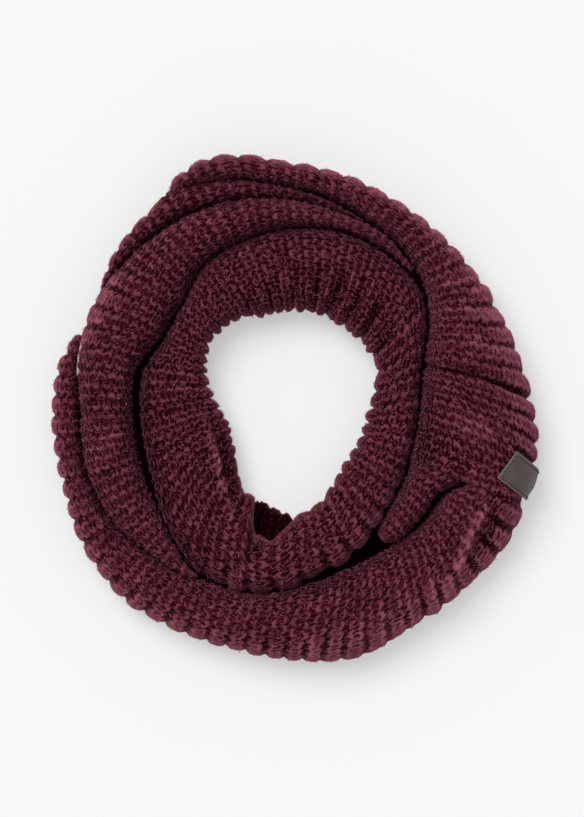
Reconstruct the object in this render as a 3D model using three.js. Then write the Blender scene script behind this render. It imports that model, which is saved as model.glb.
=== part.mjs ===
// Infinity scarf: one closed loop of chunky rib knit, wound three times and laid down as a ring.
// Millimetres, +Z up. The scarf lies on the plane z = 0, and the origin is under the middle of its box.
// Angles are degrees about the middle of the hole, from +X towards +Y, and each stretch runs clockwise.
import * as THREE from 'three';

// Driving sizes
const ringCentre = { x: -0.87, y: -2.72 };
const seamGap = 0.3;
const cloth = { colour: 0x4a2029, roughness: 0.95 };
const leather = { colour: 0x55504d, roughness: 0.7 };
const sectionsPerRib = 3;
const ridgeFlatness = 1.25;
const arcSteps = 4;
const freeEdge = { widestAt: 12, footInset: 5, insetShare: 0.3, thickness: 2 };
const leanSteps = 8;

// The parts of a stretch's width, at least and at most, that rest on the floor beside the hidden layers
const rest = { shares: [0.1, 0.4] };

// The rounded solid of hidden layers: how far it stays inside the outline, and its sections
const core = { inset: 12, sections: 120, steps: 7, clearance: 2, edgeClearance: 1.6 };

// The open tuck at the lower left of the hole, where two stretches of the inner turn part
const tuck = { at: 257, depth: 20, halfWidth: 5, fade: 3, coreReach: 11, coreHalfWidth: 3, clearance: 6 };

// A value between the rows of a table, without overshoot. Every row starts with its angle.
function between(rows, closed = false) {
  const turn = 360;
  const sorted = [...rows].sort((a, b) => a[0] - b[0]);
  const first = sorted[0];
  const last = sorted[sorted.length - 1];
  const knots = closed
    ? [[last[0] - turn, last[1]], ...sorted, [first[0] + turn, first[1]], [sorted[1][0] + turn, sorted[1][1]]]
    : sorted;
  const slope = (i) => (knots[i + 1][1] - knots[i][1]) / (knots[i + 1][0] - knots[i][0]);
  const tangent = (i) => {
    if (i === 0 || i === knots.length - 1) return 0;
    const [before, after] = [slope(i - 1), slope(i)];
    return before * after <= 0 ? 0 : (2 * before * after) / (before + after);
  };
  return (angle) => {
    const at = closed ? THREE.MathUtils.euclideanModulo(angle, turn) : angle;
    if (at <= knots[0][0]) return knots[0][1];
    if (at >= knots[knots.length - 1][0]) return knots[knots.length - 1][1];
    const i = knots.findIndex((knot, k) => knots[k + 1][0] > at);
    const span = knots[i + 1][0] - knots[i][0];
    const t = (at - knots[i][0]) / span;
    const rise = knots[i + 1][1] - knots[i][1];
    const [m0, m1] = [tangent(i) * span, tangent(i + 1) * span];
    return knots[i][1] + t * m0 + t * t * (3 * rise - 2 * m0 - m1) + t ** 3 * (m0 + m1 - 2 * rise);
  };
}

// Lines on the ring, each row [angle, radius]: the edge of the hole, and the outline
const holeEdge = between([
  [0, 48.6], [15, 53], [30, 59], [45, 60], [60, 59.7], [75, 61.8], [90, 62.3], [105, 61.5], [120, 66],
  [135, 66.8], [150, 61.6], [165, 53], [180, 43.5], [195, 39.3], [210, 41], [225, 47], [240, 56],
  [255, 58.5], [270, 62.5], [285, 59], [300, 51.3], [315, 46], [330, 45.2], [345, 46],
], true);
const outline = between([
  [0, 142], [15, 137], [30, 137], [45, 137], [60, 139], [75, 143], [90, 147], [100, 154], [108, 158],
  [116, 155], [124, 147], [135, 143], [142, 139], [150, 134], [160, 137], [170, 141], [180, 142], [195, 142],
  [210, 145], [225, 147], [240, 145], [255, 145], [270, 146], [285, 149], [300, 145], [315, 146], [330, 149],
  [340, 148], [350, 145],
], true);

// Lines where two stretches meet, each row [angle, radius]
const innerLine = between([
  [0, 76], [15, 80], [25, 88], [35, 100], [45, 108], [60, 111], [75, 112],
  [90, 110], [105, 107], [120, 103], [128, 97], [135, 92], [150, 89], [160, 93], [165, 95], [180, 94],
  [195, 94], [210, 97], [225, 104], [240, 113], [255, 112], [270, 106], [280, 98], [290, 94], [300, 88],
  [310, 83], [320, 79], [330, 77], [345, 75],
], true);
const middleLine = between([
  [50, 113], [60, 118.5], [65, 120.5], [75, 122], [90, 127], [105, 132], [120, 134.5], [150, 135.5],
  [165, 133], [180, 128], [195, 129], [210, 127], [225, 120], [240, 117],
]);
const overLine = between([
  [-56, 87], [-50, 84], [-40, 80], [-30, 78], [-15, 75], [0, 76], [15, 80], [25, 88], [35, 100], [45, 110],
  [60, 119], [70, 123], [82, 130], [90, 134], [98, 139], [103, 143], [112, 147], [119, 150],
]);
const tipLine = between([[-56, 91], [-50, 96], [-40, 98], [-30, 103], [-22, 112]]);
const hoodLine = between([
  [-125, 118], [-110, 114], [-100, 112], [-90, 108], [-80, 105.5], [-70, 102], [-60, 101], [-50, 103],
  [-40, 107], [-30, 111], [-22, 117],
]);

// A smooth bump around the tuck: 1 within its half width, 0 past the fade
function tuckBump(angle, halfWidth) {
  const away = Math.abs(THREE.MathUtils.euclideanModulo(angle - tuck.at + 180, 360) - 180);
  return 1 - THREE.MathUtils.smoothstep(away, halfWidth, halfWidth + tuck.fade);
}
const tuckedHoleEdge = (angle) => holeEdge(angle) + tuck.depth * tuckBump(angle, tuck.halfWidth);

// The rounded solid under the stretches: its edges, and its height at a radius
const coreHeight = between([
  [0, 14], [60, 15], [150, 15], [210, 13], [257, 11], [290, 9], [320, 9], [340, 12],
], true);
const coreInner = (angle) => holeEdge(angle) + core.inset
  - tuck.coreReach * tuckBump(angle, tuck.coreHalfWidth);
const coreOuter = (angle) => outline(angle) - core.inset;
function dome(angle, radius, up, out) {
  const middle = (coreInner(angle) + coreOuter(angle)) / 2;
  const half = (coreOuter(angle) - coreInner(angle)) / 2 + out;
  return Math.max(0, (coreHeight(angle) + up) * (1 - ((radius - middle) / half) ** 2));
}
const coreTop = (angle, radius) => dome(angle, radius, 0, 0);
const underside = (angle, radius) => dome(
  angle,
  radius,
  core.clearance + tuck.clearance * tuckBump(angle, 2 * tuck.halfWidth),
  core.edgeClearance,
);

// A place on the ring from its angle, radius and height
function place(angle, radius, height) {
  const turned = THREE.MathUtils.degToRad(angle);
  return new THREE.Vector3(
    ringCentre.x + radius * Math.cos(turned),
    ringCentre.y + radius * Math.sin(turned),
    height,
  );
}

// The faces that close a ring of points: its first points are its upper chain, and the rest come back below.
// They zip the two chains together, so two rings of like shape are closed in the same way.
function endFaces(count, upper) {
  const [above, below] = [upper - 1, count - upper - 1];
  const faces = [];
  let [i, j] = [0, 0];
  while (i < above || j < below) {
    const [top, bottom] = [i, count - 1 - j];
    if ((i + 1) / above <= (j + 1) / below || j === below) {
      faces.push([top, top + 1, bottom]);
      i += 1;
    } else {
      faces.push([top, bottom - 1, bottom]);
      j += 1;
    }
  }
  return faces;
}

// A closed mesh through rings of points. Given a number of upper points, the run is open with closed ends.
function loft(rings, upper = 0) {
  const count = rings[0].length;
  const positions = rings.flat().flatMap((p) => [p.x, p.y, p.z]);
  const faces = [];
  const runs = upper ? rings.length - 1 : rings.length;
  for (let i = 0; i < runs; i += 1) {
    const next = (i + 1) % rings.length;
    for (let j = 0; j < count; j += 1) {
      const side = (j + 1) % count;
      const [a, b, c, d] = [i * count + j, i * count + side, next * count + side, next * count + j];
      faces.push(a, c, b, a, d, c);
    }
  }
  if (upper) {
    const lastRing = runs * count;
    for (const [p, q, r] of endFaces(count, upper)) {
      faces.push(p, q, r, lastRing + r, lastRing + q, lastRing + p);
    }
  }
  const geometry = new THREE.BufferGeometry();
  geometry.setAttribute('position', new THREE.Float32BufferAttribute(positions, 3));
  geometry.setIndex(faces);
  geometry.computeVertexNormals();
  return geometry;
}

// One point of a stretch's outer side. across runs from 0 at its inner edge to 1 at its outer edge, and lift
// moves the point out of the cloth. The ribs lean, so the angle changes with the radius.
function outerPoint(stretch, run, across, lift) {
  const crest = stretch.crest(run);
  const inward = across < crest;
  const share = inward ? across / crest : (1 - across) / (1 - crest);
  const swing = share * Math.PI / 2;
  const free = (inward ? stretch.innerFree : stretch.outerFree)(run);
  const low = (angle) => Math.max(
    THREE.MathUtils.lerp(stretch.grooveDepth, freeEdge.widestAt, free),
    underside(angle, stretch.inner(angle)) + freeEdge.thickness,
  );
  let angle = run;
  let radius = 0;
  for (let step = 0; step < leanSteps; step += 1) {
    const [from, to] = [stretch.inner(angle), stretch.outer(angle)];
    const top = from + (to - from) * crest;
    radius = inward ? top - (top - from) * Math.cos(swing) : top + (to - top) * Math.cos(swing);
    angle = run + stretch.lean(run) * (radius - stretch.leanRadius);
  }
  const height = low(angle) + (stretch.height(run) - low(angle)) * Math.sin(swing);
  const outwards = (inward ? -1 : 1) * Math.cos(swing) * lift;
  return { angle, radius: radius + outwards, height: height + Math.sin(swing) * lift };
}

// How far a rib lifts the cloth at a point of a section. It dies away where the stretch meets the next one.
function ribLift(stretch, run, section, step, across) {
  const { relief: [atInner, atOuter], perRib = sectionsPerRib } = stretch;
  const free = (step < arcSteps ? stretch.innerFree : stretch.outerFree)(run);
  const up = 1 - Math.abs(step - arcSteps) / arcSteps;
  const fade = THREE.MathUtils.lerp(Math.sin(up * Math.PI / 2) ** 2, 1, free);
  const wave = Math.min(1, ridgeFlatness * Math.sin((Math.PI * (section % perRib)) / perRib));
  return (atInner + (atOuter - atInner) * across) * fade * wave;
}

// One section of a stretch: its outer side over the crest, then its plain underside over the hidden layers
function sectionOf(stretch, run, section) {
  const crest = stretch.crest(run);
  const points = [];
  for (let step = 0; step <= arcSteps * 2; step += 1) {
    const across = step <= arcSteps
      ? (crest * step) / arcSteps
      : crest + ((1 - crest) * (step - arcSteps)) / arcSteps;
    points.push(outerPoint(stretch, run, across, ribLift(stretch, run, section, step, across)));
  }
  const first = outerPoint(stretch, run, 0, 0);
  const last = outerPoint(stretch, run, 1, 0);
  const inset = Math.min(freeEdge.footInset, freeEdge.insetShare * (last.radius - first.radius));
  const footIn = first.radius + inset * stretch.innerFree(run);
  const footOut = last.radius - inset * stretch.outerFree(run);
  const width = footOut - footIn;
  const [least, most] = rest.shares.map((share) => share * width);
  const { clamp } = THREE.MathUtils;
  const restIn = clamp(coreInner(first.angle) - core.edgeClearance, footIn + least, footIn + most);
  const restOut = clamp(coreOuter(last.angle) + core.edgeClearance, footOut - most, footOut - least);
  for (const radius of [footOut, restOut, (restIn + restOut) / 2, restIn, footIn]) {
    const share = (radius - footIn) / width;
    const angle = THREE.MathUtils.lerp(first.angle, last.angle, share);
    points.push({ angle, radius, height: underside(angle, radius) });
  }
  return points;
}

// A whole stretch, from its first angle clockwise to its last
function stretchGeometry(stretch) {
  const count = stretch.ribs * (stretch.perRib ?? sectionsPerRib);
  const middle = (stretch.inner(stretch.from) + stretch.outer(stretch.from)) / 2;
  const half = THREE.MathUtils.radToDeg(seamGap / 2 / middle);
  const [from, to] = [stretch.from - half, stretch.to + half];
  const sections = [];
  for (let section = 0; section <= count; section += 1) {
    sections.push(sectionOf(stretch, THREE.MathUtils.lerp(from, to, section / count), section));
  }
  const rings = sections.map((ring) => ring.map((p) => place(p.angle, p.radius, p.height)));
  return loft(rings, arcSteps * 2 + 1);
}

// Edges of stretches: meetGap keeps two that lie against each other apart
const meetGap = 0.25;
const inside = (line) => (angle) => line(angle) - meetGap;
const beyond = (line) => (angle) => line(angle) + meetGap;
const steady = (value) => () => value;
const overOrInner = (angle) => Math.max(overLine(angle), innerLine(angle));

// The stretches that show. from and to are angles, and ribs is the number of knit ribs along the stretch,
// with perRib sections to each. relief is how far a rib stands out at the inner and at the outer edge. An
// edge is free (1) where it shows as the edge of the hole or the outline, and not free (0) where it lies
// against the next stretch. grooveDepth is the height at which it meets that one. Rows of height and crest
// are [angle, height of the crest] and [angle, its place across, from 0 to 1]; rows of lean are [angle,
// degrees that a rib turns for each millimetre outwards].
const stretches = {
  inner_turn_left: {
    from: 257, to: 160, ribs: 12, perRib: 4, relief: [1.6, 1.6], innerFree: steady(1), outerFree: steady(0),
    inner: tuckedHoleEdge, outer: inside(innerLine), grooveDepth: 17, leanRadius: 80,
    height: between([[160, 35], [190, 33], [225, 33], [257, 32]]),
    crest: between([[160, 0.62], [210, 0.66], [257, 0.5]]),
    lean: steady(0.1),
  },
  inner_turn_top: {
    from: 160, to: 38, ribs: 21, relief: [3.2, 1.8], innerFree: steady(1), outerFree: steady(0),
    inner: holeEdge, outer: inside(innerLine), grooveDepth: 17, leanRadius: 80,
    height: between([[38, 38], [75, 40], [110, 39], [160, 35]]),
    crest: between([[38, 0.7], [100, 0.75], [160, 0.62]]),
    lean: steady(0.1),
  },
  inner_turn_right: {
    from: 38, to: -103, ribs: 13, perRib: 5, relief: [2.6, 1.8], innerFree: steady(1), outerFree: steady(0),
    inner: tuckedHoleEdge, outer: inside(innerLine), grooveDepth: 17, leanRadius: 80,
    height: between([[-103, 33], [-60, 35], [-15, 32], [15, 33], [38, 38]]),
    crest: between([[-103, 0.55], [0, 0.6], [38, 0.7]]),
    lean: steady(0.1),
  },
  middle_turn: {
    from: 236, to: 50, ribs: 31, relief: [2.2, 2.2], innerFree: steady(0),
    outerFree: between([[148, 0], [152, 1], [156, 1], [160, 0]]),
    inner: beyond(innerLine), outer: inside(middleLine), grooveDepth: 19, leanRadius: 115,
    height: between([
      [50, 33], [65, 39], [90, 44], [120, 46], [180, 46], [210, 43], [225, 38], [236, 32],
    ]),
    crest: between([[50, 0.5], [120, 0.5], [180, 0.45], [236, 0.5]]),
    lean: steady(0.05),
  },
  upper_fold: {
    from: 148, to: 70, ribs: 14, relief: [1.6, 2.6], innerFree: steady(0),
    outerFree: between([[119.5, 0], [124, 1]]),
    inner: beyond(middleLine), outer: (angle) => Math.min(overLine(angle), outline(angle)) - meetGap,
    grooveDepth: 16, leanRadius: 135,
    height: between([[70, 30], [90, 34], [120, 34], [148, 24]]),
    crest: steady(0.55),
    lean: steady(0),
  },
  outer_turn_upper: {
    from: 119, to: 10, ribs: 19, relief: [1.8, 3], innerFree: steady(0), outerFree: steady(1),
    inner: beyond(overOrInner), outer: outline, grooveDepth: 17, leanRadius: 115,
    height: between([[10, 52], [45, 50], [80, 47], [100, 45], [112, 42], [116, 38], [119, 28]]),
    crest: between([[10, 0.42], [60, 0.45], [119, 0.5]]),
    lean: between([[10, -0.25], [30, -0.25], [70, -0.05], [119, 0]]),
  },
  outer_turn_right: {
    from: 10, to: -22, ribs: 6, relief: [1.8, 3], innerFree: steady(0), outerFree: steady(1),
    inner: beyond(overOrInner), outer: outline, grooveDepth: 17, leanRadius: 115,
    height: between([[-22, 50], [-5, 52], [10, 52]]),
    crest: between([[-22, 0.55], [10, 0.42]]),
    lean: between([[-22, 0], [-10, -0.15], [10, -0.25]]),
  },
  tucked_end: {
    from: -22, to: -55, ribs: 5, relief: [1.6, 1.6], innerFree: steady(0), outerFree: steady(0),
    inner: beyond(overOrInner), outer: tipLine, grooveDepth: 14, leanRadius: 90,
    height: between([[-55, 20], [-48, 32], [-35, 42], [-22, 48]]),
    crest: steady(0.5),
    lean: steady(0),
  },
  outer_turn_lower: {
    from: -22, to: -200, ribs: 34, relief: [1.8, 3], innerFree: steady(0), outerFree: steady(1),
    inner: (angle) => meetGap + (angle > -122
      ? Math.max(hoodLine(angle), innerLine(angle))
      : middleLine(THREE.MathUtils.euclideanModulo(angle, 360))),
    outer: outline, grooveDepth: 15, leanRadius: 125,
    height: between([
      [-200, 21], [-195, 26], [-180, 29], [-150, 33], [-120, 38], [-90, 42], [-50, 44], [-22, 47],
    ]),
    crest: between([[-200, 0.4], [-120, 0.4], [-60, 0.36], [-40, 0.22], [-22, 0.22]]),
    lean: between([[-110, 0], [-70, -0.18], [-45, -0.18], [-22, 0]]),
  },
};

// The rounded solid that the hidden layers share. It shows in the tuck at the lower left of the hole.
function hiddenLayersGeometry() {
  const rings = [];
  for (let section = 0; section < core.sections; section += 1) {
    const angle = tuck.at - (360 * section) / core.sections;
    const [from, to] = [coreInner(angle), coreOuter(angle)];
    const ring = [];
    for (let step = 0; step <= core.steps; step += 1) {
      const radius = THREE.MathUtils.lerp(from, to, step / core.steps);
      ring.push(place(angle, radius, coreTop(angle, radius)));
    }
    rings.push(ring);
  }
  return loft(rings);
}

// The label of imitation leather. Its upper edge is a slanted line on the right-hand stretch. From there it
// runs outwards along its own heading, clear of the ribs, and down over the stretch's outer edge.
const label = {
  corner: { angle: -9.9, radius: 134.5 },
  heading: -37.7,
  width: 19.5,
  columns: 6,
  rows: 8,
  clear: 3.4,
  thickness: 1.2,
};
const searchSteps = 12;

// One point of the label: sideways is its distance from the first side edge, share runs from 0 at its upper
// edge to 1 at its lower one, and lift is its height over the ribs' valleys.
function labelPoint(sideways, share, lift) {
  const stretch = stretches.outer_turn_right;
  const heading = THREE.MathUtils.degToRad(label.heading);
  const along = new THREE.Vector3(Math.cos(heading), Math.sin(heading), 0);
  const start = place(label.corner.angle, label.corner.radius, 0);
  start.add(new THREE.Vector3(along.y, -along.x, 0).multiplyScalar(sideways));
  let distance = 0;
  let firstSwing = null;
  let height = 0;
  for (let step = 0; step < searchSteps; step += 1) {
    const x = start.x + along.x * distance - ringCentre.x;
    const y = start.y + along.y * distance - ringCentre.y;
    const angle = THREE.MathUtils.radToDeg(Math.atan2(y, x));
    const radius = Math.hypot(x, y);
    const run = angle - stretch.lean(angle) * (radius - stretch.leanRadius);
    const [from, to] = [stretch.inner(angle), stretch.outer(angle)];
    const top = from + (to - from) * stretch.crest(run);
    const reach = to - top + lift;
    firstSwing ??= Math.acos((radius - top) / reach);
    const swing = firstSwing * (1 - share);
    const outwards = Math.cos(heading - THREE.MathUtils.degToRad(angle));
    distance += (top + reach * Math.cos(swing) - radius) / outwards;
    const low = freeEdge.widestAt;
    height = low + (stretch.height(run) - low + lift) * Math.sin(swing);
  }
  return start.addScaledVector(along, distance).setZ(height);
}

function labelGeometry() {
  const rings = [];
  for (let column = 0; column <= label.columns; column += 1) {
    const sideways = (label.width * column) / label.columns;
    const ring = [];
    for (let row = 0; row <= label.rows; row += 1) {
      ring.push(labelPoint(sideways, row / label.rows, label.clear + label.thickness));
    }
    for (let row = label.rows; row >= 0; row -= 1) {
      ring.push(labelPoint(sideways, row / label.rows, label.clear));
    }
    rings.push(ring);
  }
  return loft(rings, label.rows + 1);
}

function mesh(name, geometry, finish) {
  const material = new THREE.MeshStandardMaterial({
    color: finish.colour, roughness: finish.roughness, metalness: 0,
  });
  const made = new THREE.Mesh(geometry, material);
  made.name = name;
  return made;
}

const scarf = new THREE.Group();
for (const [name, stretch] of Object.entries(stretches)) {
  scarf.add(mesh(name, stretchGeometry(stretch), cloth));
}
scarf.add(mesh('hidden_layers', hiddenLayersGeometry(), cloth));
scarf.add(mesh('label', labelGeometry(), leather));

export default scarf;
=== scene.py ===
# Infinity scarf of chunky rib knit, wound round and laid flat as a ring, seen from above.
import math

import bmesh
import bpy
import mathutils
import numpy as np
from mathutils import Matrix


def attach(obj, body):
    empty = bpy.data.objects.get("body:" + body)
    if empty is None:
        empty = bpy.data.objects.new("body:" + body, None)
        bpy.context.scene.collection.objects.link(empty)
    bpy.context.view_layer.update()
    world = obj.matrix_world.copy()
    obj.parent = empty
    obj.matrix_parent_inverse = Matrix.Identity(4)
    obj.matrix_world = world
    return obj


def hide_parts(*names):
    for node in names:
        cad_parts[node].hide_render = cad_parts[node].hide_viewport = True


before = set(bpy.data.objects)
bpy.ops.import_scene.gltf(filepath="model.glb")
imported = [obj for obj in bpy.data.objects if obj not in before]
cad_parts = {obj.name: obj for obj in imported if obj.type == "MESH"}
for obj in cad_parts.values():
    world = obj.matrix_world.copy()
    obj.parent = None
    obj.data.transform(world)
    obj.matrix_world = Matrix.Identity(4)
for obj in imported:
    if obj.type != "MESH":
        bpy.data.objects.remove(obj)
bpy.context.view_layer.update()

# The hidden layers
# One knitted band, closed into a loop, is wound round three times. What lies under the stretches that show
# is not seen but for a knit fold in the tuck and the pocket's floor, both deep in shade. One low ring of the
# same knit stands for it, flat where it rests on the floor, with shade painted on it to make it dark.
MM = 0.001
# Sizes are in millimetres. The lines round the ring are rows of (angle, radius), with the angle in degrees
# about this centre.
RING_CENTRE = (-0.87, -2.72)


def between(rows, closed=False):
    """A value between the rows of a table, without overshoot."""
    rows = sorted(rows)
    if closed:
        rows = [(rows[-1][0] - 360, rows[-1][1])] + rows + [(a + 360, v) for a, v in rows[:2]]
    at = np.array([row[0] for row in rows], float)
    value = np.array([row[1] for row in rows], float)
    step = np.diff(value) / np.diff(at)
    before, after = step[:-1], step[1:]
    bend = np.zeros(len(at))
    same = before * after > 0
    bend[1:-1][same] = 2 * before[same] * after[same] / (before[same] + after[same])

    def look_up(angle):
        angle = np.mod(angle, 360) if closed else np.asarray(angle, float)
        angle = np.clip(angle, at[0], at[-1])
        i = np.clip(np.searchsorted(at, angle, side="right") - 1, 0, len(at) - 2)
        span = at[i + 1] - at[i]
        t = (angle - at[i]) / span
        rise = value[i + 1] - value[i]
        m0, m1 = bend[i] * span, bend[i + 1] * span
        return value[i] + t * m0 + t * t * (3 * rise - 2 * m0 - m1) + t**3 * (m0 + m1 - 2 * rise)

    return look_up


def smooth(x, low, high):
    t = np.clip((x - low) / (high - low), 0, 1)
    return t * t * (3 - 2 * t)


hole_edge = between([
    (0, 48.6), (15, 53), (30, 59), (45, 60), (60, 59.7), (75, 61.8), (90, 62.3), (105, 61.5), (120, 66),
    (135, 66.8), (150, 61.6), (165, 53), (180, 43.5), (195, 39.3), (210, 41), (225, 47), (240, 56),
    (255, 58.5), (270, 62.5), (285, 59), (300, 51.3), (315, 46), (330, 45.2), (345, 46)], closed=True)
outline = between([
    (0, 143.5), (15, 138), (30, 136), (45, 137), (60, 139), (75, 143), (90, 147), (100, 154), (108, 158),
    (116, 155), (124, 147), (135, 143), (142, 139), (150, 134), (160, 137), (170, 141), (180, 142),
    (195, 142), (210, 147), (225, 149.5), (240, 147), (255, 145), (270, 147.5), (285, 151), (300, 145.5),
    (315, 147.5), (330, 150.5), (336, 150.2), (340, 146.4), (343, 148.2), (347, 148.4), (352, 146.5)],
    closed=True)
TUCK = {"at": 256, "depth": 19, "half_width": 2, "steep_fade": 8, "gentle_fade": 17}


def past_tuck(angle):
    """Degrees past the middle of the tuck, and below 0 before it."""
    return np.mod(angle - TUCK["at"] + 180, 360) - 180


def place(angle, radius, height):
    """Points beside the ring's centre, never below the floor."""
    turned = np.radians(angle)
    x = RING_CENTRE[0] + radius * np.cos(turned)
    y = RING_CENTRE[1] + radius * np.sin(turned)
    return np.stack([x, y, np.maximum(height, 0)], axis=-1)


RIB_PITCH = 12.3
STITCH_WIDTH = 6.0
# The parts of a row of stitches, as shares of its width: the purl bumps, the legs between them, and the slits
# beside the legs, whose width is in millimetres. Slits take their chance values from rows further on.
PURL_AT = 0.34
PURL_HALF = 0.27
LEGS_AT = 0.82
LEGS_HALF = 0.32
LEGS_HEIGHT = 0.52
SLIT_AT = 0.78
SLIT_WIDTH = 0.62
SLIT_CHANCE_ROW = 17
chance = np.random.default_rng(11)
STITCH_CHANCE = chance.random((61, 67, 5))


def wander(a, b, seed):
    """A slow, uneven drift from -1 to 1, which turns quicker the faster a and b grow."""
    return (np.sin(0.61 * a + 0.23 * b + seed) + np.sin(1.37 * a - 0.41 * b + 2.1 * seed)
            + np.sin(0.29 * a + 0.83 * b - 1.3 * seed)) / 3


def luck_at(row, column):
    """Five chance values for each stitch, from 0 to 1."""
    rows, columns, _ = STITCH_CHANCE.shape
    return STITCH_CHANCE[np.mod(row, rows).astype(int), np.mod(column, columns).astype(int)]


def stitches(rib, across):
    """The knit at a place counted in ribs along and stitches across. Two rows go to a rib, each with a line
    of bowed purl bumps and, between that and the next, the slits beside the stitches' legs. Gives the
    height from 0 to 1, the shade painted in the slits and hollows between the yarns, and each stitch's
    own tone with a painted highlight on the tops of the purl bumps."""
    rib = rib - 0.08 + 0.05 * wander(9 * rib, 4 * across, 3.0)
    across = across + 0.15 * wander(7 * rib, 3.1 * across, 5.0)
    row = np.floor(2 * rib)
    along = 2 * rib - row
    shifted = across + 0.5 * np.mod(row, 2)
    column = np.floor(shifted)
    luck = luck_at(row, column)
    x = shifted - column - 0.5
    lean = 0.45 * (luck[..., 3] - 0.5)
    bow = (0.09 + 0.10 * luck[..., 1]) * (1 - 2 * np.mod(row, 2))
    y = along - PURL_AT + bow * np.cos(2 * math.pi * x) - lean * x + 0.16 * (luck[..., 0] - 0.5)
    purl = np.clip(1 - np.abs(2.1 * x) ** 3, 0, 1) * np.clip(1 - np.abs(y / PURL_HALF) ** 2.2, 0, 1)
    purl = purl**0.6 * (0.8 + 0.34 * luck[..., 2])
    slit = np.rint(2 * shifted)
    slit_luck = luck_at(row + SLIT_CHANCE_ROW, slit)
    beside = shifted - slit / 2 + 0.12 * (slit_luck[..., 0] - 0.5)
    beside = beside + 0.25 * (slit_luck[..., 4] - 0.5) * along
    reach = 0.24 + 0.14 * slit_luck[..., 1]
    along_slit = along - SLIT_AT + 0.1 * (slit_luck[..., 2] - 0.5)
    within = np.clip(1 - np.abs(along_slit / reach) ** 3, 0, 1)
    how_open = np.clip(0.6 + 0.8 * slit_luck[..., 3], 0, 1)
    gap = np.exp(-((beside * STITCH_WIDTH / SLIT_WIDTH) ** 2)) * within * how_open
    legs = LEGS_HEIGHT * np.clip(1 - np.abs((along - LEGS_AT) / LEGS_HALF) ** 2.5, 0, 1)
    height = np.maximum(purl, legs)
    # Painted shade between the yarns, darkest in the open slits and in the hollows round the purl bumps
    hollow = np.clip(0.55 - height, 0, 0.5)
    gap_shade = np.clip(0.8 * gap + 0.84 * hollow, 0, 1)
    # Each stitch's own tone at random, with a painted highlight on the tops of the purl bumps
    return height * (1 - 0.7 * gap), gap_shade, 0.3 * luck[..., 4] + 0.7 * purl


def knobs_at(rib):
    """The round knobs that the ribs make along a free edge, from 0 to 1."""
    return np.abs(np.sin(math.pi * rib)) ** 0.8


def as_piece(name, mesh):
    piece = bpy.data.objects.new(name, mesh)
    bpy.context.collection.objects.link(piece)
    return piece


def closed_shell(name, outer, inner, fields, round_trip=False):
    """A thin closed mesh: the outer grid of points over the top, and the inner one back below it. Its ends
    are filled, or joined where it goes all the way round."""
    rings = np.concatenate([outer, inner[:, ::-1]], axis=1)
    along, around = rings.shape[0] - 1, rings.shape[1]
    bm = bmesh.new()
    bmesh.ops.create_grid(bm, x_segments=along, y_segments=around, size=0.5)
    mesh = bpy.data.meshes.new(name)
    bm.to_mesh(mesh)
    grid = np.empty(len(mesh.vertices) * 3, np.float32)
    mesh.vertices.foreach_get("co", grid)
    grid = grid.reshape(-1, 3)
    i = np.rint((grid[:, 0] + 0.5) * along).astype(int)
    j = np.rint((grid[:, 1] + 0.5) * around).astype(int) % around
    mesh.vertices.foreach_set("co", (rings[i, j] * MM).astype(np.float32).ravel())
    for field, values in fields.items():
        plain = np.zeros((along + 1, inner.shape[1]), np.float32)
        whole = np.concatenate([values.astype(np.float32), plain], axis=1)
        mesh.attributes.new(field, "FLOAT", "POINT").data.foreach_set("value", whole[i, j])
    bm.clear()
    bm.from_mesh(mesh)
    bm.verts.ensure_lookup_table()
    at_seam = np.abs(np.abs(grid[:, 1]) - 0.5) < 0.25 / around
    if round_trip:
        at_seam |= np.abs(np.abs(grid[:, 0]) - 0.5) < 0.25 / along
    bmesh.ops.remove_doubles(bm, verts=[bm.verts[k] for k in np.flatnonzero(at_seam)], dist=1e-7)
    ends = [edge for edge in bm.edges if edge.is_boundary]
    if ends:
        filled = bmesh.ops.holes_fill(bm, edges=ends, sides=0)["faces"]
        bmesh.ops.triangulate(bm, faces=filled, ngon_method="EAR_CLIP")
    bmesh.ops.recalc_face_normals(bm, faces=bm.faces)
    bm.to_mesh(mesh)
    bm.free()
    mesh.polygons.foreach_set("use_smooth", [True] * len(mesh.polygons))
    return as_piece(name, mesh)


# Soft acrylic and wool yarn in dark wine red, brushed so that short hairs catch the light at the edges. The
# colour is a melange of darker and pinker fibres. Shade is painted into it, nearly black between the
# stitches.
WINE_DARK = (0.028, 0.0020, 0.0060, 1)
WINE_MID = (0.075, 0.0102, 0.0206, 1)
WINE_LIGHT = (0.345, 0.108, 0.152, 1)
PAINTED_SHADE_COLOUR = (0.008, 0.0004, 0.0012, 1)
SHEEN_COLOUR = (0.95, 0.27, 0.40, 1)
FIBRES_PER_MM = (2.1, 3.1, 1)
NAP_PER_MM = 2.6
# Where each colour stands in the fibres' noise, and how far a stitch's own tone and the painted highlights
# move it
WINE_DARK_AT = 0.465
WINE_MID_AT = 0.605
WINE_LIGHT_AT = 0.76
TONE_AND_HIGHLIGHT_SPREAD = 0.17


def new_material(name):
    material = bpy.data.materials.new(name)
    material.use_nodes = True
    return material, material.node_tree, material.node_tree.nodes["Principled BSDF"]


def node(tree, kind, **settings):
    made = tree.nodes.new(kind)
    for key, value in settings.items():
        setattr(made, key, value)
    return made


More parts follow.
